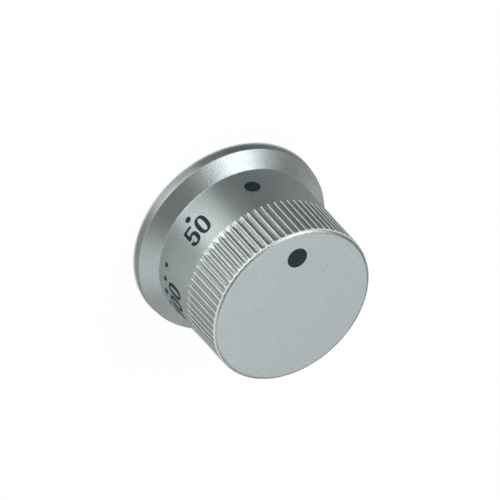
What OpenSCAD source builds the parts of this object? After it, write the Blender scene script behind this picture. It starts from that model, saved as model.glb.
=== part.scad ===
// Push-on rotary control knob with a dial skirt and a fluted grip
// The knob's axis is Z, its rear rim stands on z = 0, its front face is up and its pointer is at +Y

/* [Flange] */
// Diameter of the flange at the rear plane
flange_d = 52; // [51:0.5:56]
// Height of the upright rim
rim_h = 2.65; // [2.2:0.05:3]
// Radius that the rim loses from the rear plane to its front edge
rim_draft = 0.36; // [0.2:0.02:0.5]
// Rounding of the rim's front edge
rim_round = 0.35; // [0.2:0.05:0.5]
// Height of the bevel between the rim and the skirt
bevel_h = 2.95; // [2.6:0.05:3.4]
// Radius of the hollow where the bevel runs into the skirt
bevel_fillet = 0.5; // [0.3:0.05:0.8]

/* [Skirt and grip] */
// Diameter of the skirt where it leaves the bevel
skirt_d = 43.5; // [42.5:0.1:44]
// Height from the rear plane to the front face
knob_h = 32; // [31:0.5:36]
// Draft of the skirt and the grip from the axis, in degrees
draft = 2.35; // [1.6:0.05:2.8]
// Rounding of the front edge
front_round = 1.1; // [0.8:0.1:1.4]

/* [Flutes] */
// Number of flutes around the grip
flute_n = 77; // [70:1:78]
// Width of a flute at the surface
flute_w = 1.56; // [1.4:0.02:1.58]
// Depth of a flute
flute_depth = 0.38; // [0.3:0.02:0.44]
// Height at which the flutes start
flute_start = 19.3; // [18:0.1:20.5]
// Length of the sloping rear end of a flute
flute_ramp = 1.5; // [1.4:0.1:2.4]
// Distance of the flutes' front ends from the front face
flute_stop = 1; // [1:0.1:2]
// Length of the steep front end of a flute
flute_lip = 0.25; // [0.2:0.05:0.5]
// Angle of the first flute from the pointer
flute_angle = 0.5; // [0:0.1:4.5]

/* [Hollow] */
// Thickness of the flange and skirt walls
wall = 2.4; // [2:0.1:2.6]
// Thickness of the front wall
front_wall = 3; // [2.6:0.1:4]
// Number of webs between the boss and the skirt
web_n = 4; // [4:4:8]
// Thickness of a web
web_t = 1.5; // [1.2:0.1:2]
// Height at which the webs start
web_start = 14; // [12:0.5:18]

/* [Boss and socket] */
// Outer diameter of the boss
boss_d = 12.4; // [12:0.1:14]
// Distance of the boss's end from the rear plane
boss_recess = 4; // [3:0.5:6]
// Diameter of the shaft that the knob is pushed on
shaft_d = 6; // [6:0.05:6.2]
// Radial clearance between the shaft and the socket
shaft_gap = 0.05; // [0.03:0.01:0.08]
// Distance of the shaft's flat from its axis
shaft_flat = 1.6; // [1.5:0.05:1.7]
// Length of the round entry of the socket
entry_len = 8; // [7:0.5:9]
// Radial relief of the socket beyond its entry
socket_relief = 0.2; // [0.16:0.02:0.24]
// Length of the whole socket
socket_len = 17; // [16:0.5:18]

/* [Spring] */
// Thickness of the spring strip
strip_t = 0.4; // [0.3:0.05:0.45]
// Width of the spring strip
strip_w = 3.4; // [3:0.1:3.5]
// Side clearance of the strip in its slot
strip_gap = 0.15; // [0.1:0.05:0.2]
// Clearance of the strip from the shaft in the entry, and from the land behind it
strip_clear = 0.2; // [0.15:0.05:0.3]
// Thickness of boss wall that the strip is clipped over
grip_wall = 2.1; // [1.9:0.1:2.1]
// Length of the strip's outer leg above the boss's end
leg_len = 5; // [4:0.5:7]
// Length over which the strip steps inward from its slot to the shaft's flat
step_h = 2.4; // [2:0.1:2.8]
// Inner radius of the strip's bends
bend_r = 0.3; // [0.2:0.05:0.4]

/* [Print] */
// Thickness of the printed ink
ink_t = 0.06; // [0.04:0.01:0.1]
// Diameter of the pointer dot on the front face
face_dot_d = 5; // [4:0.1:6]
// Distance of the pointer dot from the axis
face_dot_r = 13.9; // [11:0.1:15]
// Diameter of the dot under the pointer, on the skirt
zero_dot_d = 3.8; // [3:0.1:4.4]
// Height of that dot's centre
zero_dot_z = 11.8; // [9:0.1:14]
// Angle of the printed scale from the pointer
scale_angle = 2.2; // [0:0.1:4]
// Angle from the zero dot to the first number
first_angle = 45; // [40:0.5:50]
// Angle from the zero dot to the second number
second_angle = 98.8; // [96:0.1:102]
// Angle from one small dot to the next
dot_angle = 10.3; // [9.5:0.1:10.6]
// Number of dots from one number to the next
dots_per_number = 5; // [4:1:6]
// Number of small dots before the second number
dots_before_n = 2; // [0:1:3]
// Number of dots from the second number to the last one
dots_after_n = 15; // [10:5:15]
// Height of the row of dots
dot_z = 8.75; // [8:0.05:9.5]
// Diameter of a small dot
dot_d = 1.2; // [0.9:0.1:1.4]
// Diameter of a dot at a number
number_dot_d = 1.55; // [1.2:0.05:1.8]

/* [Hidden] */
$fn = 96;
// Overlap of a cut past a face, or of a joined piece into its neighbour
eps = 0.5;
// Share by which a rounding's circle passes its sides, so that it crosses them cleanly
cross = 0.002;
// Share by which what a rounding takes or adds reaches past the corner's sides
past = 0.2;
// Distance by which a flute's cutter is wider than the flute, above the surface
flute_side = 0.03;
// Angle of the first web, which keeps the webs clear of the pointer and the spring
web_angle = 45;

flange_r = flange_d / 2;
skirt_r = skirt_d / 2;
skirt_z = rim_h + bevel_h;
boss_r = boss_d / 2;
socket_r = shaft_d / 2 + shaft_gap;
deep_r = socket_r + socket_relief;
entry_end = boss_recess + entry_len;
socket_end = boss_recess + socket_len;
ceiling_z = knob_h - front_wall;

// Radius of the drafted skirt and grip at height z
function side_r(z) = skirt_r - (z - skirt_z) * tan(draft);
// Radius of the hollow's wall at height z
function inner_r(z) = side_r(z) - wall;

flute_r = (pow(flute_w / 2, 2) + pow(flute_depth, 2)) / (2 * flute_depth);
flute_slope = flute_depth / flute_ramp + tan(draft);
// Radius of the sloping rear ends of the flutes at height z
function ramp_r(z) = side_r(flute_start) - (z - flute_start) * flute_slope;
flute_end = knob_h - flute_stop;
// Radius of the steep front ends of the flutes at height z
function lip_r(z) = side_r(flute_end) + (z - flute_end) * flute_depth / flute_lip;

// Corners of the outer profile: rear edge, rim, bevel, front edge
rim_front = [flange_r - rim_draft, rim_h];
bevel_top = [skirt_r, skirt_z];
front_edge = [side_r(knob_h), knob_h];

// The strip's places across the boss, as distances from the axis toward -Y
slot_y = socket_r + strip_t + strip_clear;
leg_y = slot_y + grip_wall;
land_y = shaft_flat + strip_t + strip_clear / 4;
// Heights of the strip's step from the slot to the shaft's flat
step_z = entry_end + strip_clear;
step_dy = slot_y - strip_t / 2 - (shaft_flat + strip_t / 2);
// Height of the land's slope where it is y from the axis, clear of the strip
function land_z(y) = step_z + strip_t + strip_clear / 2 + (slot_y - strip_t / 2 - y) * step_h / step_dy;

function unit(v) = v / norm(v);
function perp(v) = [-v[1], v[0]];
function turned(c, r, from, to, steps = 6) =
    [for (i = [0 : steps]) let (a = from + (to - from) * i / steps) c + r * [cos(a), sin(a)]];
// Direction of a path's leg into point i, and out of it
function leg_in(path, i) = unit(path[max(i, 1)] - path[max(i, 1) - 1]);
function leg_out(path, i) =
    let (j = min(i, len(path) - 2)) unit(path[j + 1] - path[j]);
// Offset of a path's point i to its left by d, mitred
function beside(path, i, d) =
    let (a = perp(leg_in(path, i)), b = perp(leg_out(path, i)))
    path[i] + (a + b) * d / (1 + a * b);

// Face of a strip of thickness t that follows a path
module strip(path, t) {
    last = len(path) - 1;
    polygon(concat(
        [for (i = [0 : last]) beside(path, i, t / 2)],
        [for (i = [last : -1 : 0]) beside(path, i, -t / 2)]
    ));
}

// What lies between a corner p and an arc of radius r that rounds it, toward points a and b
module corner(a, p, b, r) {
    u = unit(a - p);
    v = unit(b - p);
    half = acos(u * v) / 2;
    middle = p + unit(u + v) * r / sin(half);
    reach = r / tan(half);
    kite = [p, p + u * reach, middle, p + v * reach];
    difference() {
        polygon([for (q = kite) q + (q - middle) * past]);
        translate(middle) circle(r = r * (1 + cross));
    }
}

// Solid outer form, before the flutes
module envelope() {
    rotate_extrude() difference() {
        union() {
            polygon([[0, 0], [flange_r, 0], rim_front, bevel_top, front_edge, [0, knob_h]]);
            corner(rim_front, bevel_top, front_edge, bevel_fillet);
        }
        corner([flange_r, 0], rim_front, bevel_top, rim_round);
        corner(bevel_top, front_edge, [0, knob_h], front_round);
    }
}

// One flute's cutter, which leans with the draft and stays clear of its neighbours
module flute() {
    rear = flute_start - flute_ramp;
    lift = flute_r - flute_depth;
    side = flute_w / 2 + flute_side;
    translate([side_r(rear) + lift, 0, rear])
        rotate([0, -draft, 0])
            linear_extrude(knob_h - rear + eps)
                intersection() {
                    circle(r = flute_r);
                    translate([-flute_r - eps, -side]) square([flute_depth + 2 * eps, 2 * side]);
                }
}

// All the flutes, stopped at the rear by a long slope and at the front by a steep one
module flutes() {
    rear = flute_start - 2 * flute_ramp;
    ramp_low = flute_start + 2 * flute_ramp;
    lip_low = flute_end - 2 * flute_lip;
    front = knob_h + 2 * eps;
    difference() {
        for (i = [0 : flute_n - 1])
            rotate(90 + flute_angle + i * 360 / flute_n) flute();
        rotate_extrude() polygon([
            [boss_r, rear], [ramp_r(rear), rear], [ramp_r(ramp_low), ramp_low],
            [lip_r(lip_low), lip_low], [lip_r(front), front], [boss_r, front]
        ]);
    }
}

// Open hollow behind the walls
module hollow() {
    across = unit([bevel_h, rim_front[0] - skirt_r]);
    level = across * rim_front - wall;
    rim_in = flange_r - wall;
    rim_top = (level - across[0] * rim_in) / across[1];
    skirt_in = inner_r(skirt_z);
    skirt_low = (level - across[0] * skirt_in) / across[1];
    ceiling = [inner_r(ceiling_z), ceiling_z];
    rotate_extrude() difference() {
        polygon([
            [0, -eps], [rim_in, -eps], [rim_in, rim_top], [skirt_in, skirt_low],
            ceiling, [0, ceiling_z]
        ]);
        corner([skirt_in, skirt_low], ceiling, [0, ceiling_z], front_round);
    }
}

// Boss, flattened where the spring's outer leg lies on it
module boss() {
    difference() {
        translate([0, 0, boss_recess]) cylinder(r = boss_r, h = ceiling_z - boss_recess + eps);
        translate([-boss_r, -leg_y - boss_r, boss_recess - eps])
            cube([boss_d, boss_r, leg_len + 2 * eps]);
    }
}

// Webs that join the boss to the skirt
module webs() {
    outer = inner_r(web_start) + wall / 3;
    for (i = [0 : web_n - 1])
        rotate(web_angle + i * 360 / web_n)
            translate([socket_r + wall, -web_t / 2, web_start])
                cube([outer - socket_r - wall, web_t, ceiling_z - web_start + eps]);
}

// Void for the shaft: a round entry, a deeper part with a flat land, and the spring's slot
module socket() {
    slot_w = strip_w + 2 * strip_gap;
    slot_end = land_z(sqrt(pow(deep_r, 2) - pow(slot_w / 2, 2)));
    land_low = deep_r + eps;
    translate([0, 0, boss_recess - eps]) cylinder(r = socket_r, h = entry_len + eps);
    difference() {
        translate([0, 0, entry_end]) cylinder(r = deep_r, h = socket_end - entry_end);
        rotate([90, 0, 90]) translate([0, 0, -land_low])
            linear_extrude(2 * land_low)
                polygon([
                    [-land_low, land_z(land_low)], [-land_y, land_z(land_y)],
                    [-land_y, socket_end + eps], [-land_low, socket_end + eps]
                ]);
    }
    translate([-slot_w / 2, -slot_y, boss_recess - eps])
        cube([slot_w, slot_y - shaft_flat, slot_end - boss_recess + eps]);
}

module knob_body() {
    color([0.72, 0.74, 0.74])
        difference() {
            union() {
                difference() {
                    envelope();
                    flutes();
                    hollow();
                }
                boss();
                webs();
            }
            socket();
        }
}

// Bent strip: outer leg, bend over the boss's end, slot, step inward, leaf on the shaft's flat
module shaft_spring() {
    bend = bend_r + strip_t / 2;
    low = boss_recess;
    outer = -leg_y - strip_t / 2;
    inner = -slot_y + strip_t / 2;
    leaf = inner + step_dy;
    leaf_end = socket_end - 2 * strip_t;
    path = concat(
        [[outer, low + leg_len]],
        turned([outer + bend, low], bend, 180, 270),
        turned([inner - bend, low], bend, 270, 360),
        [[inner, step_z], [leaf, step_z + step_h], [leaf, leaf_end]]
    );
    color([0.62, 0.63, 0.64])
        rotate([90, 0, 90]) translate([0, 0, -strip_w / 2])
            linear_extrude(strip_w) strip(path, strip_t);
}

module ink() {
    color([0.10, 0.15, 0.17]) children();
}

// Skin of ink on the skirt, between two heights
module skirt_skin(low, high) {
    rotate_extrude() polygon([
        [side_r(low), low], [side_r(low) + ink_t, low],
        [side_r(high) + ink_t, high], [side_r(high), high]
    ]);
}

// Rod through the skirt's wall that stamps a round mark on it, an angle back from the pointer
module stamp(angle, z, d) {
    rotate(90 + angle) translate([inner_r(z), 0, z]) rotate([0, 90, 0]) cylinder(d = d, h = 2 * wall);
}

module face_dot() {
    ink() translate([0, face_dot_r, knob_h]) cylinder(d = face_dot_d, h = ink_t);
}

module zero_dot() {
    ink() intersection() {
        skirt_skin(zero_dot_z - zero_dot_d, zero_dot_z + zero_dot_d);
        stamp(scale_angle, zero_dot_z, zero_dot_d);
    }
}

// Row of dots: one at the first number, a few before the second number, then one every step
module scale_dots() {
    ink() intersection() {
        skirt_skin(dot_z - number_dot_d, dot_z + number_dot_d);
        union() {
            stamp(scale_angle + first_angle, dot_z, number_dot_d);
            for (i = [-dots_before_n : dots_after_n])
                stamp(
                    scale_angle + second_angle + i * dot_angle,
                    dot_z,
                    i >= 0 && i % dots_per_number == 0 ? number_dot_d : dot_d
                );
        }
    }
}

knob_body();
shaft_spring();
face_dot();
zero_dot();
scale_dots();
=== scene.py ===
import math

import bmesh
import bpy
from mathutils import Matrix, Vector


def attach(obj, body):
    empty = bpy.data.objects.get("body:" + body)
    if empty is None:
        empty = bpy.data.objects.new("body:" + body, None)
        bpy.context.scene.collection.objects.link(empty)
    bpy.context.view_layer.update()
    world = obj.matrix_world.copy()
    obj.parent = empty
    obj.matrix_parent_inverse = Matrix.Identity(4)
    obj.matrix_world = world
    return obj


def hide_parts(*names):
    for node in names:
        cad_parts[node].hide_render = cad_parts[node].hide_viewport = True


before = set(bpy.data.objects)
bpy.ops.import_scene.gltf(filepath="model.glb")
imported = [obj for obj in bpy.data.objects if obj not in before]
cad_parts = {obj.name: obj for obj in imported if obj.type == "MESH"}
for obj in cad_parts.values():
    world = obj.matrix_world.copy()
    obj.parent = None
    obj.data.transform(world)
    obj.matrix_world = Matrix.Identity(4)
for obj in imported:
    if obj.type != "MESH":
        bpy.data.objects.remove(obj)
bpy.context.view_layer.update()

# Sizes are in millimetres and radians unless a comment says otherwise
MM = 0.001

# Outside of the moulding, as in the part's source
FLANGE_R = 26.0
RIM_H = 2.65
RIM_DRAFT = 0.36
RIM_ROUND = 0.35
BEVEL_H = 2.95
BEVEL_FILLET = 0.5
SKIRT_R = 21.75
SKIRT_Z = RIM_H + BEVEL_H
KNOB_H = 32.0
DRAFT = math.radians(2.35)
FRONT_ROUND = 1.1
ROUND_START = KNOB_H - FRONT_ROUND
POINTER = math.pi / 2

# Flutes of the grip, as in the part's source, with the radius of their cutter, the slope of their
# rear ends and the angle from one to the next
FLUTE_N = 77
FLUTE_W = 1.56
FLUTE_DEPTH = 0.38
FLUTE_START = 19.3
FLUTE_RAMP = 1.5
RAMP_END = FLUTE_START + FLUTE_RAMP
FLUTE_ANGLE = math.radians(0.5)
FLUTE_R = ((FLUTE_W / 2) ** 2 + FLUTE_DEPTH ** 2) / (2 * FLUTE_DEPTH)
FLUTE_SLOPE = FLUTE_DEPTH / FLUTE_RAMP + math.tan(DRAFT)
PITCH = 2 * math.pi / FLUTE_N

# Hollow behind, as in the part's source: wall, webs, boss, socket, and the spring's slot and flats
WALL = 2.4
CEILING_Z = 29.0
WEB_N = 4
WEB_T = 1.5
WEB_START = 14.0
WEB_SUNK = 0.5
BOSS_R = 6.2
BOSS_END = 4.0
ENTRY_END = 12.0
SOCKET_END = 21.0
SOCKET_R = 3.05
DEEP_R = 3.25
SLOT_Y = 3.65
SLOT_HALF = 1.85
SLOT_END = 13.83
LEG_Y = 5.75
LEG_FLAT_TOP = 9.5
LAND_Y = 2.05
LAND_LOW = 12.99
LAND_HIGH = 14.74

# Rounding that only the scene has: the rear edge, the crests beside a flute, and the hollow where
# a flute's floor meets its rear slope
REAR_ROUND = 0.15
CREST_SOFT = 0.08
RAMP_SOFT = 0.12

# How far the corners of a flute's rear end are pulled in, where its depth starts to ease off
# toward the front edge, and the share of the depth that goes per millimetre
REAR_CURVE = 0.35
EASE_START = 29.8
EASE_RATE = 0.43

# Rings of the mesh: bands by their first height, last height and number, single heights on the
# inner wall, distances in from the front edge, and the height between the two rings of a step
SKIRT_RINGS = (7.5, FLUTE_START - 0.6, 5)
GRIP_RINGS = (
    (FLUTE_START - 0.3, RAMP_END + 0.5, 20),
    (RAMP_END + 2, ROUND_START - 0.6, 5),
    (ROUND_START - 0.4, ROUND_START - 0.1, 4),
)
WALL_RINGS = (24, 19, WEB_START, 9)
FACE_RINGS = (0.3, 1.5)
STEP_H = 0.01

# Columns of the mesh from a flute's middle to the crest beside it, as shares of half a pitch
HALF_COLUMNS = (0, 0.22, 0.42, 0.58, 0.71, 0.80, 0.86, 0.895, 0.925, 0.955)
COARSE = len(HALF_COLUMNS)

# Edges that turn more than this stay sharp, and the places of the shell's two materials
SHARP_ANGLE = math.radians(38)
PAINT, PLASTIC = 0, 1

# Mesh attributes for a painted highlight on the crests, partly paint rubbed pale there, and painted
# shade on the flutes' walls, with the place of the pale line above a flute's edge, the reach and
# the strength of both, and the share of the pale line that the front ends are spared
SHEEN_AND_RUB = "sheen_and_rub"
FLUTE_SHADE = "flute_shade"
SHEEN_PLACE = 0.07
EDGE_REACH = 0.19
SHEEN_GAIN = 1.8
SHADE_GAIN = 1.3
FRONT_SPARED = 0.4

# Paint: flakes per metre, depth of its grain on walls and on level faces, strength of the grain,
# and how upright a normal is where a face starts to count as level
FLAKE_SCALE = 3600
WALL_GRAIN = 0.10
FACE_GRAIN = 0.07
GRAIN_STRENGTH = 0.6
LEVEL_START = 0.9

# Part of a pattern over which a material goes from its dark colour to its light one
PATTERN_MIDDLE = (0.3, 0.7)

# Ink above and below the skirt's surface, and the figures' height, stroke widths, spacing, foot on
# the skirt, and width of the strips that let them bend
INK_T = 0.03
INK_SUNK = 0.02
FIGURE_H = 5.6
UPRIGHT_W = 1.03
LEVEL_W = 0.67
FIGURE_GAP = 0.47
FIGURE_FOOT_Z = 16.05
STRIP_W = 0.3

# Start of the scale, and the numbers with their angles from it, in degrees
SCALE_ANGLE = 2.2
NUMBER_ANGLES = (("50", 45.0), ("100", 99.3), ("150", 150.8), ("200", 201.8), ("250", 253.3))

# Speck on the front face: its place, its radius, and its shape as shares of that radius
SPECK_PLACE = (8.0, 9.6)
SPECK_R = 0.21
SPECK_SHAPE = (1, 0.75, 0.2)

# Lamps: name, degrees clockwise from the pointer, elevation in degrees, distance, width and height
# in metres, and brightness
LAMPS = (
    ("key_lamp", 28, 41, 0.6, 0.30, 0.46, 2.1),
    ("side_lamp", 64, 52, 0.6, 0.28, 0.28, 1.2),
    ("face_panel", 165, 50, 0.7, 0.85, 0.46, 0.65),
    ("top_panel", 165, 86, 0.7, 0.50, 0.50, 0.60),
    ("left_panel", -122, 27, 0.7, 0.70, 0.40, 0.62),
    ("low_lamp", -42, 12, 0.6, 0.50, 0.20, 1.0),
)

# Brightness of the surroundings on dull surfaces, and where metal mirrors them
SKY_DULL = 0.7
SKY_MIRRORED = 0.14

# Glow of the table in reflections: degrees clockwise from the pointer, brightness close by and
# further off
TABLE_GLOW = (
    (-180, 0.33, 0.55),
    (-125, 0.40, 0.60),
    (-92, 0.49, 0.50),
    (-68, 0.43, 0.65),
    (-47, 1.00, 2.60),
    (-31, 0.74, 2.40),
    (-16, 0.27, 0.22),
    (5, 0.19, 0.10),
    (60, 0.31, 0.12),
    (110, 0.45, 0.60),
)

# Radii where the glow is close by and further off, and the shade beside the rim with its reach
GLOW_CLOSE = 58
GLOW_FAR = 98
RIM_SHADE = 0.53
SHADE_REACH = 6

# Mesh attribute of the glow, and the card that carries it: its height, its gap to the rim, the
# growth from one ring to the next and their number
GLOW = "glow"
CARD_Z = 0.1
CARD_GAP = 0.3
CARD_GROWTH = 1.09
CARD_RINGS = 37

# Table a hair below the knob: its height, the radius of the small hole in its middle, its upturned
# edge, and how far it is white to the camera and in reflections
FLOOR_Z = -0.02
FLOOR_HOLE = 0.5
BACKDROP_R = 3000
BACKDROP_H = 300
FLOOR_WHITE = 0.96

# Steps of the round sheets in degrees
TURNS = range(-180, 180, 4)

# Camera fitted to the photograph: its place, its backward and rightward directions, its lens and
# sensor, and its range in metres
CAMERA_PLACE = (-146.840, 208.653, 265.325)
CAMERA_BACK = (-0.40885, 0.57403, 0.70946)
CAMERA_RIGHT = (0.87819, 0.03600, 0.47696)
CAMERA_LENS = 108
CAMERA_SENSOR = 36
CAMERA_RANGE = 20


def side_r(z):
    """Radius of the drafted skirt and grip at height z."""
    return SKIRT_R - (z - SKIRT_Z) * math.tan(DRAFT)


def ramp_r(z):
    """Radius of the sloping rear ends of the flutes at height z."""
    return side_r(FLUTE_START) - (z - FLUTE_START) * FLUTE_SLOPE


def front_r(z):
    """Radius of the grip without its flutes at height z, round to the front face."""
    up = min(max(z - ROUND_START, 0), FRONT_ROUND)
    return side_r(z - up) - FRONT_ROUND + math.sqrt(FRONT_ROUND ** 2 - up ** 2)


def closeness(a, b, soft):
    """One where two radii are equal, falling to nothing where they are a width apart."""
    return max(soft - abs(a - b), 0) / soft


def soft_min(a, b, soft):
    """The smaller of two radii, blended over a width where they are close."""
    return min(a, b) - closeness(a, b, soft) ** 2 * soft / 4


def soft_max(a, b, soft):
    """The larger of two radii, blended over a width where they are close."""
    return -soft_min(-a, -b, soft)


def smooth(share):
    """Share from 0 to 1 that leaves and arrives gently."""
    share = min(max(share, 0), 1)
    return share * share * (3 - 2 * share)


def rounded(before, corner, after, radius, steps):
    """Points of the arc that rounds a profile's corner, from its first side to its second."""
    corner = Vector(corner)
    u = (Vector(before) - corner).normalized()
    v = (Vector(after) - corner).normalized()
    half = u.angle(v) / 2
    middle = corner + (u + v).normalized() * radius / math.sin(half)
    start = corner + u * radius / math.tan(half) - middle
    end = corner + v * radius / math.tan(half) - middle
    turn = start.angle(end) * math.copysign(1, start.x * end.y - start.y * end.x)
    return [middle + Matrix.Rotation(turn * i / steps, 2) @ start for i in range(steps + 1)]


def spread(low, high, count):
    """Evenly spread values, both ends included."""
    return [low + (high - low) * i / (count - 1) for i in range(count)]


def column_angles():
    """Angle of every fine column and its angle from the middle of its flute."""
    columns = []
    for i in range(2 * FLUTE_N):
        for share in HALF_COLUMNS:
            half = share if i % 2 == 0 else share - 1
            angle = POINTER + FLUTE_ANGLE + (i + share) * PITCH / 2
            columns.append((angle, half * PITCH / 2))
    return columns


COLUMNS = column_angles()


def ring(bm, z, radius, fine=False):
    """Ring of vertices at height z, with a radius for each angle and angle within a flute."""
    step = 1 if fine else COARSE
    verts = []
    for angle, in_flute in COLUMNS[::step]:
        r = radius(angle, in_flute)
        verts.append(bm.verts.new((r * math.cos(angle) * MM, r * math.sin(angle) * MM, z * MM)))
    return verts


def span(verts, j, coarse):
    """Vertices of a ring from coarse column j to the next one."""
    step = len(verts) // coarse
    return [verts[(j * step + k) % len(verts)] for k in range(step + 1)]


def join(bm, a, b, material):
    """Faces between two rings, which may differ in their number of columns."""
    coarse = min(len(a), len(b))
    for j in range(coarse):
        face = bm.faces.new(span(a, j, coarse) + span(b, j, coarse)[::-1])
        face.material_index = material
        face.smooth = True


def plain(r):
    """Radius that is the same all round."""
    return lambda angle, in_flute: r


def slot_r(angle):
    """Radius of the spring's slot in the socket's wall."""
    off = abs(math.remainder(angle + POINTER, 2 * math.pi))
    if off >= POINTER:
        return 0
    return min(SLOT_Y / math.cos(off), SLOT_HALF / max(math.sin(off), 1e-6))


def flat_r(angle, r, distance):
    """Radius of a circle that has a flat at a distance from the axis, on the spring's side."""
    toward = math.cos(angle + POINTER)
    return min(r, distance / toward) if toward > 0 else r


def with_flat(r, distance):
    """Radius all round of a circle that has a flat."""
    return lambda angle, in_flute: flat_r(angle, r, distance)


def socket(z):
    """Radius of the socket at height z: round entry, flat land deeper in, slot for the spring."""
    r = SOCKET_R if z < ENTRY_END else DEEP_R
    share = min(max((z - LAND_LOW) / (LAND_HIGH - LAND_LOW), 0), 1)
    land = DEEP_R + (LAND_Y - DEEP_R) * share
    if z > SLOT_END:
        return with_flat(r, land)
    return lambda angle, in_flute: max(flat_r(angle, r, land), slot_r(angle))


def socket_rings(bm):
    """Rings of the socket from its end to its mouth."""
    heights = [SOCKET_END]
    heights += spread(LAND_HIGH, SLOT_END + STEP_H, 4)
    heights += spread(SLOT_END - STEP_H, LAND_LOW, 3)
    heights += [ENTRY_END + STEP_H, ENTRY_END - STEP_H, BOSS_END]
    return [ring(bm, z, socket(z)) for z in heights]


def boss_rings(bm):
    """Rings of the boss from its end to the ceiling, flattened where the spring's leg lies."""
    flattened = with_flat(BOSS_R, LEG_Y)
    return [
        ring(bm, BOSS_END, flattened),
        ring(bm, LEG_FLAT_TOP - STEP_H, flattened),
        ring(bm, LEG_FLAT_TOP + STEP_H, plain(BOSS_R)),
        ring(bm, CEILING_Z, plain(BOSS_R)),
    ]


def hollow_profile():
    """Points of the hollow's wall from the ceiling to the rear plane, a wall inside the outside."""
    across = Vector((BEVEL_H, FLANGE_R - RIM_DRAFT - SKIRT_R)).normalized()
    level = across.dot(Vector((FLANGE_R - RIM_DRAFT, RIM_H))) - WALL
    rim_in = FLANGE_R - WALL
    skirt_in = side_r(SKIRT_Z) - WALL
    rim_top = (rim_in, (level - across.x * rim_in) / across.y)
    skirt_low = (skirt_in, (level - across.x * skirt_in) / across.y)
    ceiling = (side_r(CEILING_Z) - WALL, CEILING_Z)
    corner = rounded((BOSS_R, CEILING_Z), ceiling, skirt_low, FRONT_ROUND, steps=6)
    wall = [(side_r(z) - WALL, z) for z in WALL_RINGS]
    return corner + wall + [skirt_low, rim_top, (rim_in, 0)]


def flange_profile():
    """Points of the flange and the plain skirt, from the rear plane up to the flutes."""
    rear = (FLANGE_R, 0)
    rim_front = (FLANGE_R - RIM_DRAFT, RIM_H)
    bevel_top = (SKIRT_R, SKIRT_Z)
    front = (side_r(KNOB_H), KNOB_H)
    return (
        rounded((FLANGE_R - WALL, 0), rear, rim_front, REAR_ROUND, steps=4)
        + rounded(rear, rim_front, bevel_top, RIM_ROUND, steps=7)
        + rounded(rim_front, bevel_top, front, BEVEL_FILLET, steps=7)
        + [(side_r(z), z) for z in spread(*SKIRT_RINGS)]
    )


def grip_profile():
    """Points of the grip before its flutes, from below their ends round to the front face."""
    heights = [z for band in GRIP_RINGS for z in spread(*band)]
    front = (side_r(KNOB_H), KNOB_H)
    corner = rounded((SKIRT_R, SKIRT_Z), front, (0, KNOB_H), FRONT_ROUND, steps=20)
    return [(side_r(z), z) for z in heights] + [tuple(point) for point in corner]


def flute_cut(z, across):
    """Radius of the round cut of a flute at height z, across from its middle."""
    ease = 1 - EASE_RATE * max(z - EASE_START, 0)
    return side_r(z) - ease * (FLUTE_DEPTH - FLUTE_R + math.sqrt(FLUTE_R ** 2 - across ** 2))


def flute_floor(z, across):
    """Radius of a flute's floor and its rear ramp at height z, across from its middle."""
    pulled_in = REAR_CURVE * (2 * across / FLUTE_W) ** 4
    return soft_max(flute_cut(z, across), ramp_r(z - pulled_in), RAMP_SOFT)


def fluted(r, z):
    """Radius of the fluted grip at a point of its plain profile."""
    return lambda angle, in_flute: soft_min(r, flute_floor(z, side_r(z) * in_flute), CREST_SOFT)


def crest_sheen_and_rub(z, across):
    """How pale the crests are: a painted highlight, partly paint rubbed pale, most on the crests
    between the flutes and at their ends.
    """
    above = flute_cut(z, across) - front_r(z)
    spared = FRONT_SPARED * smooth((z - EASE_START) / (ROUND_START - EASE_START))
    return (1 - spared) * min(SHEEN_GAIN * closeness(above, SHEEN_PLACE, EDGE_REACH), 1)


def painted_flute_shade(z, across):
    """How much painted shade darkens a flute: most on its steep walls."""
    within = min(max((front_r(z) - flute_cut(z, across)) / EDGE_REACH, 0), 1)
    on_wall = closeness(flute_cut(z, across), flute_floor(z, across), RAMP_SOFT)
    return within * on_wall * min(SHADE_GAIN * (2 * across / FLUTE_W) ** 2, 1)


def flute_mark_at(point, flute_mark):
    """One of the two flute marks, the painted highlight and the painted shade, at a point of the
    shell; none away from the fluted grip.
    """
    x, y, z = point
    if not FLUTE_START < z < KNOB_H or math.hypot(x, y) <= side_r(z) - WALL / 2:
        return 0
    in_flute = math.remainder(math.atan2(y, x) - POINTER - FLUTE_ANGLE, PITCH)
    return flute_mark(z, side_r(z) * in_flute)


def mark_flutes(shell):
    """Marks where the flutes get a painted highlight, partly rubbed paint, on their crests and
    painted shade on their walls.
    """
    for name, flute_mark in ((SHEEN_AND_RUB, crest_sheen_and_rub), (FLUTE_SHADE, painted_flute_shade)):
        marks = shell.data.attributes.new(name, "FLOAT", "POINT")
        marks.data.foreach_set("value", [flute_mark_at(v.co / MM, flute_mark) for v in shell.data.vertices])


def new_object(name, bm, materials):
    """Object from a bmesh, with its material slots."""
    mesh = bpy.data.meshes.new(name)
    bm.to_mesh(mesh)
    bm.free()
    for material in materials:
        mesh.materials.append(material)
    obj = bpy.data.objects.new(name, mesh)
    bpy.context.scene.collection.objects.link(obj)
    return obj


def add_web(bm, turn):
    """Closed web between the boss and the wall, reaching a little into both and the ceiling."""
    inner = SOCKET_R + WALL
    outer = side_r(WEB_START) - WALL * 2 / 3
    top = CEILING_Z + WEB_SUNK
    size = Vector((outer - inner, WEB_T, top - WEB_START)) * MM
    centre = Vector(((inner + outer) / 2, 0, (WEB_START + top) / 2)) * MM
    place = Matrix.Rotation(turn, 4, "Z") @ Matrix.Translation(centre)
    bmesh.ops.create_cube(bm, size=1, matrix=place @ Matrix.Diagonal(size).to_4x4())


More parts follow.
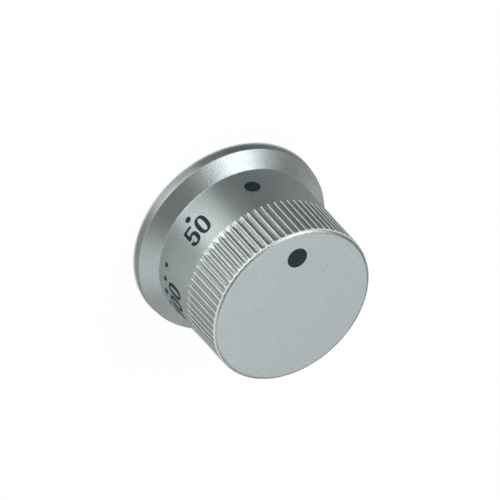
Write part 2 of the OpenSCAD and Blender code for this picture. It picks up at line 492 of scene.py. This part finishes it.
def weld_webs(shell, materials):
    """Joins the four webs to the moulding."""
    bm = bmesh.new()
    for i in range(WEB_N):
        add_web(bm, (i + 0.5) * 2 * math.pi / WEB_N)
    for face in bm.faces:
        face.material_index = PLASTIC
        face.smooth = True
    webs = new_object("webs", bm, materials)
    union = shell.modifiers.new("webs", "BOOLEAN")
    union.operation = "UNION"
    union.solver = "EXACT"
    union.object = webs
    graph = bpy.context.evaluated_depsgraph_get()
    welded = bpy.data.meshes.new_from_object(shell.evaluated_get(graph))
    shell.modifiers.remove(union)
    plain_mesh = shell.data
    shell.data = welded
    bpy.data.meshes.remove(plain_mesh)
    bpy.data.objects.remove(webs)
    welded.name = "knob_shell"


def knob_shell(materials):
    """The whole moulding as one closed mesh: socket, boss, hollow, flange, skirt, grip, face."""
    bm = bmesh.new()
    grip = grip_profile()
    face_r = grip[-1][0]
    inside = socket_rings(bm) + boss_rings(bm)
    inside += [ring(bm, z, plain(r)) for r, z in hollow_profile()]
    outside = [ring(bm, z, plain(r)) for r, z in flange_profile()]
    outside += [ring(bm, z, fluted(r, z), fine=True) for r, z in grip]
    outside += [ring(bm, KNOB_H, plain(face_r - inset)) for inset in FACE_RINGS]
    for a, b in zip(inside, inside[1:]):
        join(bm, a, b, PLASTIC)
    join(bm, inside[-1], outside[0], PAINT)
    for a, b in zip(outside, outside[1:]):
        join(bm, a, b, PAINT)
    bm.faces.new(inside[0][::-1]).material_index = PLASTIC
    bm.faces.new(outside[-1]).material_index = PAINT
    shell = new_object("knob_shell", bm, materials)
    weld_webs(shell, materials)
    shell.data.set_sharp_from_angle(angle=SHARP_ANGLE)
    mark_flutes(shell)
    return shell


def bend(centre, radii, start, end, power=2.0, steps=14):
    """Part of a rounded oval between two angles in degrees."""
    points = []
    for a in spread(math.radians(start), math.radians(end), steps + 1):
        c, s = math.cos(a), math.sin(a)
        x = math.copysign(abs(c) ** (2 / power), c) * radii[0]
        y = math.copysign(abs(s) ** (2 / power), s) * radii[1]
        points.append((centre[0] + x, centre[1] + y))
    return points


def figure_0():
    """Outlines of the figure 0 and its width."""
    half = 1.64
    middle = (half, FIGURE_H / 2)
    outer = bend(middle, (half, FIGURE_H / 2), 0, 360, 2.5, 48)[:-1]
    inner = bend(middle, (half - UPRIGHT_W, FIGURE_H / 2 - LEVEL_W), 0, 360, 2.7, 40)[:-1]
    return [outer, inner], 2 * half


def figure_1():
    """Outline of the figure 1 and its width, with the room that is usual after it."""
    right, room = 1.75, 0.35
    left = right - UPRIGHT_W
    flag_low, flag_high = 4.1, 4.68
    flag = [(0, flag_low), (0, flag_high)]
    top = bend((0, FIGURE_H + 0.06), (right - 0.72, 0.98), -90, -4, steps=8)
    stem = [(right, FIGURE_H), (right, 0), (left, 0), (left, flag_low)]
    return [flag + top + stem], right + room


def figure_2():
    """Outline of the figure 2 and its width."""
    wide = 3.15
    middle, arch_w, arch_h = (1.58, 4.0), 1.57, 1.6
    arch = bend(middle, (arch_w, arch_h), 180, 0)
    inner_arch = bend(middle, (arch_w - UPRIGHT_W, arch_h - LEVEL_W), 0, 180)
    slope = bend((0.95, 3.95), (2.2, 3.1), 0, -52, steps=8)
    inner_slope = bend((0.2, 3.95), (2.0, 2.6), -52, 0, steps=8)
    foot = [(1.25, LEVEL_W), (wide, LEVEL_W), (wide, 0), (0, 0), (0, 0.55)]
    return [arch + slope[1:] + foot + inner_slope[:-1] + inner_arch], wide


def figure_5():
    """Outline of the figure 5 and its width."""
    wide, bar_right, bar_low = 3.15, 2.87, FIGURE_H - 0.69
    bar = [(0.2, FIGURE_H), (bar_right, FIGURE_H), (bar_right, bar_low)]
    stem = [(UPRIGHT_W, bar_low), (UPRIGHT_W, 3.5)]
    bowl_high = bend((1.9, 2.3), (wide - 1.9, 1.45), 92, 0)
    bowl_low = bend((1.58, 1.55), (wide - 1.58, 1.55), 0, -180, 2.2, 26)
    hook = [(0, 1.7), (UPRIGHT_W, 1.7)]
    inner_low = bend((1.58, 1.5), (1.58 - UPRIGHT_W, 1.5 - LEVEL_W), -180, 0, 2.3, 18)
    inner_high = bend((1.62, 2.3), (wide - UPRIGHT_W - 1.62, 0.68), 0, 130, 2.2, 12)
    foot = [(UPRIGHT_W, 2.48), (0.14, 2.48)]
    outside = bar + stem + bowl_high + bowl_low
    return [outside + hook + inner_low[1:] + inner_high + foot], wide


FIGURES = {"0": figure_0, "1": figure_1, "2": figure_2, "5": figure_5}


def number_loops(text):
    """Outlines of a number's figures side by side, centred on zero, and their whole width."""
    loops, x = [], 0
    for sign in text:
        outlines, wide = FIGURES[sign]()
        loops += [[(px + x, py) for px, py in loop] for loop in outlines]
        x += wide + FIGURE_GAP
    middle = (x - FIGURE_GAP) / 2
    return [[(px - middle, py) for px, py in loop] for loop in loops], 2 * middle


def flat_figures(text):
    """Filled figures of a number in the plane, cut into upright strips so that they can bend."""
    loops, wide = number_loops(text)
    bm = bmesh.new()
    for loop in loops:
        verts = [bm.verts.new((x, y, 0)) for x, y in loop]
        for a, b in zip(verts, verts[1:] + verts[:1]):
            bm.edges.new((a, b))
    bmesh.ops.triangle_fill(bm, edges=bm.edges[:], use_beauty=True, normal=(0, 0, 1))
    for x in spread(-wide / 2, wide / 2, int(wide / STRIP_W))[1:-1]:
        geometry = bm.verts[:] + bm.edges[:] + bm.faces[:]
        bmesh.ops.bisect_plane(bm, geom=geometry, plane_co=(x, 0, 0), plane_no=(1, 0, 0))
    return bm


def wrap_on_skirt(bm, turn):
    """Bends flat figures onto the skirt; z of 0 is their underside and of 1 their top."""
    mean_r = side_r(FIGURE_FOOT_Z - FIGURE_H / 2)
    for v in bm.verts:
        z = FIGURE_FOOT_Z - v.co.y
        r = side_r(z) + (INK_T if v.co.z > 0.5 else -INK_SUNK)
        angle = POINTER + turn - v.co.x / mean_r
        v.co = Vector((r * math.cos(angle), r * math.sin(angle), z)) * MM


def dial_numbers(ink):
    """The plain numbers of the dial as one film of ink on the skirt."""
    whole = bmesh.new()
    for text, degrees in NUMBER_ANGLES:
        bm = flat_figures(text)
        top = bmesh.ops.extrude_face_region(bm, geom=bm.faces[:])
        for v in top["geom"]:
            if isinstance(v, bmesh.types.BMVert):
                v.co.z = 1
        wrap_on_skirt(bm, math.radians(SCALE_ANGLE + degrees))
        bmesh.ops.recalc_face_normals(bm, faces=bm.faces[:])
        part = bpy.data.meshes.new("number")
        bm.to_mesh(part)
        bm.free()
        whole.from_mesh(part)
        bpy.data.meshes.remove(part)
    return new_object("dial_numbers", whole, [ink])


def face_speck(plastic):
    """The small speck on the front face where the plastic shows, a low bead."""
    bm = bmesh.new()
    place = Matrix.Translation(Vector((*SPECK_PLACE, KNOB_H)) * MM)
    shape = Matrix.Diagonal((*SPECK_SHAPE, 1))
    bmesh.ops.create_uvsphere(
        bm, u_segments=20, v_segments=10, radius=SPECK_R * MM, matrix=place @ shape
    )
    for face in bm.faces:
        face.smooth = True
    return new_object("face_speck", bm, [plastic])


class Shader:
    """A material's Principled shader with the few procedural parts used here."""

    def __init__(self, name, roughness, metallic):
        self.material = bpy.data.materials.new(name)
        self.material.use_nodes = True
        self.nodes = self.material.node_tree.nodes
        self.links = self.material.node_tree.links
        self.bsdf = self.nodes["Principled BSDF"]
        self.bsdf.inputs["Roughness"].default_value = roughness
        self.bsdf.inputs["Metallic"].default_value = metallic
        self.place = self.nodes.new("ShaderNodeTexCoord").outputs["Object"]

    def noise(self, scale, detail=2.0, stretch=None):
        """Noise fixed to the object, stretched by a share along each axis."""
        place = self.place
        if stretch:
            mapping = self.nodes.new("ShaderNodeMapping")
            mapping.inputs["Scale"].default_value = stretch
            self.links.new(place, mapping.inputs["Vector"])
            place = mapping.outputs["Vector"]
        noise = self.nodes.new("ShaderNodeTexNoise")
        noise.inputs["Scale"].default_value = scale
        noise.inputs["Detail"].default_value = detail
        self.links.new(place, noise.inputs["Vector"])
        return noise.outputs["Fac"]

    def colour(self, pattern, dark, light):
        """Base colour that goes from dark to light over the middle of a pattern."""
        ramp = self.nodes.new("ShaderNodeValToRGB")
        for element, place, tint in zip(ramp.color_ramp.elements, PATTERN_MIDDLE, (dark, light)):
            element.position = place
            element.color = (*tint, 1)
        self.links.new(pattern, ramp.inputs["Fac"])
        self.links.new(ramp.outputs["Color"], self.bsdf.inputs["Base Color"])
        return ramp.outputs["Color"]

    def marks(self, attribute, low, high):
        """A mesh attribute, spread between two values."""
        source = self.nodes.new("ShaderNodeAttribute")
        source.attribute_name = attribute
        return self.spread(source.outputs["Fac"], low, high)

    def by_slope(self, steep, level):
        """A value for walls and slopes that changes to another on faces that lie level."""
        normal = self.nodes.new("ShaderNodeNewGeometry").outputs["Normal"]
        split = self.nodes.new("ShaderNodeSeparateXYZ")
        self.links.new(normal, split.inputs["Vector"])
        return self.spread(split.outputs["Z"], steep, level, start=LEVEL_START)

    def spread(self, pattern, low, high, start=0):
        """A pattern from its start to 1, spread between two values."""
        node = self.nodes.new("ShaderNodeMapRange")
        node.inputs["From Min"].default_value = start
        node.inputs["To Min"].default_value = low
        node.inputs["To Max"].default_value = high
        self.links.new(pattern, node.inputs["Value"])
        return node.outputs["Result"]

    def cover(self, base, share, colour):
        """Blends a colour over the base by a share that changes over the surface."""
        blend = self.nodes.new("ShaderNodeMixRGB")
        blend.inputs["Color2"].default_value = (*colour, 1)
        self.links.new(share, blend.inputs["Fac"])
        self.links.new(base, blend.inputs["Color1"])
        self.links.new(blend.outputs["Color"], self.bsdf.inputs["Base Color"])
        return blend.outputs["Color"]

    def metallic(self, share):
        """Metal by a share that changes over the surface."""
        self.links.new(share, self.bsdf.inputs["Metallic"])

    def roughness(self, pattern, low, high):
        """Roughness that follows a pattern between two values."""
        self.links.new(self.spread(pattern, low, high), self.bsdf.inputs["Roughness"])

    def grain(self, pattern, depth):
        """Bump that follows a pattern, with a depth that changes over the surface."""
        bump = self.nodes.new("ShaderNodeBump")
        bump.inputs["Strength"].default_value = GRAIN_STRENGTH
        self.links.new(depth, bump.inputs["Distance"])
        self.links.new(pattern, bump.inputs["Height"])
        self.links.new(bump.outputs["Normal"], self.bsdf.inputs["Normal"])


def silver_paint():
    """Satin silver paint with fine flakes, painted shade in the flutes, and a painted highlight on
    their edges that is partly rubbed paint.
    """
    shader = Shader("satin_silver", 0.34, 1.0)
    flakes = shader.noise(FLAKE_SCALE, 1.0)
    silver = shader.colour(flakes, (0.57, 0.63, 0.635), (0.70, 0.775, 0.78))
    # Painted shade: the flutes' walls are darkened toward dark grey
    silver = shader.cover(silver, shader.marks(FLUTE_SHADE, 0, 1), (0.17, 0.19, 0.185))
    # Painted highlight on the crests and flute ends, partly rubbed paint: pale and less metallic
    shader.cover(silver, shader.marks(SHEEN_AND_RUB, 0, 1), (0.94, 0.96, 0.95))
    shader.metallic(shader.marks(SHEEN_AND_RUB, 1, 0.1))
    shader.roughness(shader.noise(140), 0.30, 0.37)
    shader.grain(flakes, shader.by_slope(WALL_GRAIN * MM, FACE_GRAIN * MM))
    return shader.material


def moulded_plastic():
    """Bare grey plastic of the unpainted inside."""
    shader = Shader("moulded_plastic", 0.5, 0.0)
    shader.colour(shader.noise(400), (0.27, 0.28, 0.28), (0.32, 0.33, 0.33))
    shader.roughness(shader.noise(90), 0.42, 0.58)
    return shader.material


def printed_ink():
    """Dark ink, a little uneven in its density."""
    shader = Shader("printed_ink", 0.5, 0.0)
    density = shader.noise(900)
    shader.bsdf.inputs["Specular IOR Level"].default_value = 0.36
    shader.colour(density, (0.002, 0.015, 0.024), (0.005, 0.022, 0.033))
    shader.roughness(density, 0.42, 0.58)
    return shader.material


def spring_steel():
    """Plain rolled spring steel, with fine streaks along the strip."""
    shader = Shader("rolled_steel", 0.3, 1.0)
    streaks = shader.noise(500, 3.0, stretch=(6, 1, 0.2))
    shader.colour(streaks, (0.50, 0.51, 0.52), (0.62, 0.63, 0.64))
    shader.roughness(streaks, 0.24, 0.38)
    return shader.material


def add_rays(shader, kinds):
    """One where a ray is of any of the kinds named."""
    rays = shader.nodes.new("ShaderNodeLightPath")
    total = rays.outputs[kinds[0]]
    for kind in kinds[1:]:
        either = shader.nodes.new("ShaderNodeMath")
        either.operation = "MAXIMUM"
        shader.links.new(total, either.inputs[0])
        shader.links.new(rays.outputs[kind], either.inputs[1])
        total = either.outputs["Value"]
    return total


def floor_material():
    """White table that stays white to the camera and in reflections, and keeps a soft shadow."""
    shader = Shader("floor_white", 0.9, 0.0)
    shader.colour(shader.noise(40), (0.83, 0.83, 0.83), (0.86, 0.86, 0.86))
    seen = add_rays(shader, ("Is Camera Ray", "Is Glossy Ray", "Is Transmission Ray"))
    glow = shader.nodes.new("ShaderNodeEmission")
    mix = shader.nodes.new("ShaderNodeMixShader")
    shader.links.new(shader.spread(seen, 0, FLOOR_WHITE), mix.inputs["Fac"])
    shader.links.new(shader.bsdf.outputs["BSDF"], mix.inputs[1])
    shader.links.new(glow.outputs["Emission"], mix.inputs[2])
    shader.links.new(mix.outputs["Shader"], shader.nodes["Material Output"].inputs["Surface"])
    return shader.material


def direction(azimuth, elevation):
    """Direction by its degrees clockwise from the pointer, seen from the front, and its height."""
    a, e = POINTER - math.radians(azimuth), math.radians(elevation)
    return Vector((math.cos(a) * math.cos(e), math.sin(a) * math.cos(e), math.sin(e)))


def soft_lamp(name, azimuth, elevation, distance, width, height, brightness):
    """Area lamp that faces the knob's middle; a brightness of 1 shines like white paper."""
    lamp = bpy.data.lights.new(name, "AREA")
    lamp.shape = "RECTANGLE"
    lamp.size, lamp.size_y = width, height
    lamp.energy = brightness * math.pi * width * height
    obj = bpy.data.objects.new(name, lamp)
    away = direction(azimuth, elevation)
    obj.location = Vector((0, 0, KNOB_H / 2)) * MM + away * distance
    obj.rotation_euler = away.to_track_quat("Z", "Y").to_euler()
    bpy.context.scene.collection.objects.link(obj)


def round_sheet(name, profile, material):
    """Round sheet about the knob's axis, from radii and heights."""
    bm = bmesh.new()
    rows = []
    for r, z in profile:
        points = [direction(turn, 0) * r + Vector((0, 0, z)) for turn in TURNS]
        rows.append([bm.verts.new(point * MM) for point in points])
    for inner, outer in zip(rows, rows[1:]):
        for i in range(len(TURNS)):
            bm.faces.new((inner[i - 1], outer[i - 1], outer[i], inner[i])).smooth = True
    sheet = new_object(name, bm, [material])
    return sheet


def add_floor():
    """White table a hair below the knob, whose far edge turns up into a low round backdrop."""
    corner, top = (BACKDROP_R, FLOOR_Z), (BACKDROP_R, BACKDROP_H)
    edge = rounded((0, FLOOR_Z), corner, top, BACKDROP_H, steps=12)
    round_sheet("floor", [(FLOOR_HOLE, FLOOR_Z)] + [tuple(p) for p in edge], floor_material())


def table_glow(azimuth, r):
    """Brightness of the table at an angle and a distance, blended from its table of glow."""
    first = TABLE_GLOW[0]
    rows = TABLE_GLOW + ((first[0] + 360, *first[1:]),)
    away = smooth(math.log(r / GLOW_CLOSE) / math.log(GLOW_FAR / GLOW_CLOSE))
    shade = RIM_SHADE + (1 - RIM_SHADE) * smooth((r - FLANGE_R) / SHADE_REACH)
    for (a, close_a, far_a), (b, close_b, far_b) in zip(rows, rows[1:]):
        if a <= azimuth <= b:
            turn = smooth((azimuth - a) / (b - a))
            close = close_a + (close_b - close_a) * turn
            far = far_a + (far_b - far_a) * turn
            return shade * (close + (far - close) * away)


def glow_material():
    """Card that glows as its mesh is marked, where 1 is white paper."""
    material = bpy.data.materials.new("glow_card")
    material.use_nodes = True
    nodes, links = material.node_tree.nodes, material.node_tree.links
    marks = nodes.new("ShaderNodeAttribute")
    marks.attribute_name = GLOW
    glow = nodes.new("ShaderNodeEmission")
    glow.inputs["Color"].default_value = (0.98, 1.0, 0.975, 1)
    links.new(marks.outputs["Fac"], glow.inputs["Strength"])
    links.new(glow.outputs["Emission"], nodes["Material Output"].inputs["Surface"])
    return material


def add_glow_card():
    """Round card on the table that only reflections show, in place of the white table."""
    radii = [FLANGE_R + CARD_GAP] + [FLANGE_R * CARD_GROWTH ** i for i in range(1, CARD_RINGS)]
    card = round_sheet("glow_card", [(r, CARD_Z) for r in radii], glow_material())
    marks = card.data.attributes.new(GLOW, "FLOAT", "POINT")
    marks.data.foreach_set("value", [table_glow(turn, r) for r in radii for turn in TURNS])
    for ray in ("camera", "diffuse", "transmission", "shadow"):
        setattr(card, "visible_" + ray, False)


def light_world():
    """Even surroundings: a plain level of light on dull surfaces, dim where metal mirrors them."""
    world = bpy.data.worlds.new("surroundings")
    world.use_nodes = True
    nodes, links = world.node_tree.nodes, world.node_tree.links
    sky = nodes["Background"]
    sky.inputs["Color"].default_value = (0.98, 1.0, 0.99, 1)
    level = nodes.new("ShaderNodeMapRange")
    level.inputs["To Min"].default_value = SKY_MIRRORED
    level.inputs["To Max"].default_value = SKY_DULL
    rays = nodes.new("ShaderNodeLightPath")
    links.new(rays.outputs["Is Diffuse Ray"], level.inputs["Value"])
    links.new(level.outputs["Result"], sky.inputs["Strength"])
    bpy.context.scene.world = world


def add_camera():
    """Camera of the photograph: a long lens that looks obliquely at the front and the dial."""
    camera = bpy.data.cameras.new("camera")
    camera.lens = CAMERA_LENS
    camera.sensor_width = CAMERA_SENSOR
    camera.clip_end = CAMERA_RANGE
    obj = bpy.data.objects.new("camera", camera)
    back = Vector(CAMERA_BACK).normalized()
    up = back.cross(Vector(CAMERA_RIGHT)).normalized()
    axes = Matrix((up.cross(back), up, back)).transposed().to_4x4()
    obj.matrix_world = Matrix.Translation(Vector(CAMERA_PLACE) * MM) @ axes
    bpy.context.scene.collection.objects.link(obj)
    bpy.context.scene.camera = obj


def add_piece(obj, slot, *nodes):
    """Makes a piece ride on the knob and hides the CAD nodes it stands for; the slot is not used.
    """
    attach(obj, "root")
    if nodes:
        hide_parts(*nodes)


def finish_cad_node(name, material):
    """Gives a CAD node that stays its material."""
    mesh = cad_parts[name].data
    mesh.materials.clear()
    mesh.materials.append(material)


paint, ink = silver_paint(), printed_ink()
plastic = moulded_plastic()
add_piece(knob_shell([paint, plastic]), "silver_paint", "knob_body")
add_piece(dial_numbers(ink), "ink")
add_piece(face_speck(plastic), "silver_paint")
for dot in ("face_dot", "zero_dot", "scale_dots"):
    finish_cad_node(dot, ink)
finish_cad_node("shaft_spring", spring_steel())

add_floor()
light_world()
for lamp in LAMPS:
    soft_lamp(*lamp)
add_glow_card()
add_camera()
bpy.context.scene.view_settings.view_transform = "Standard"
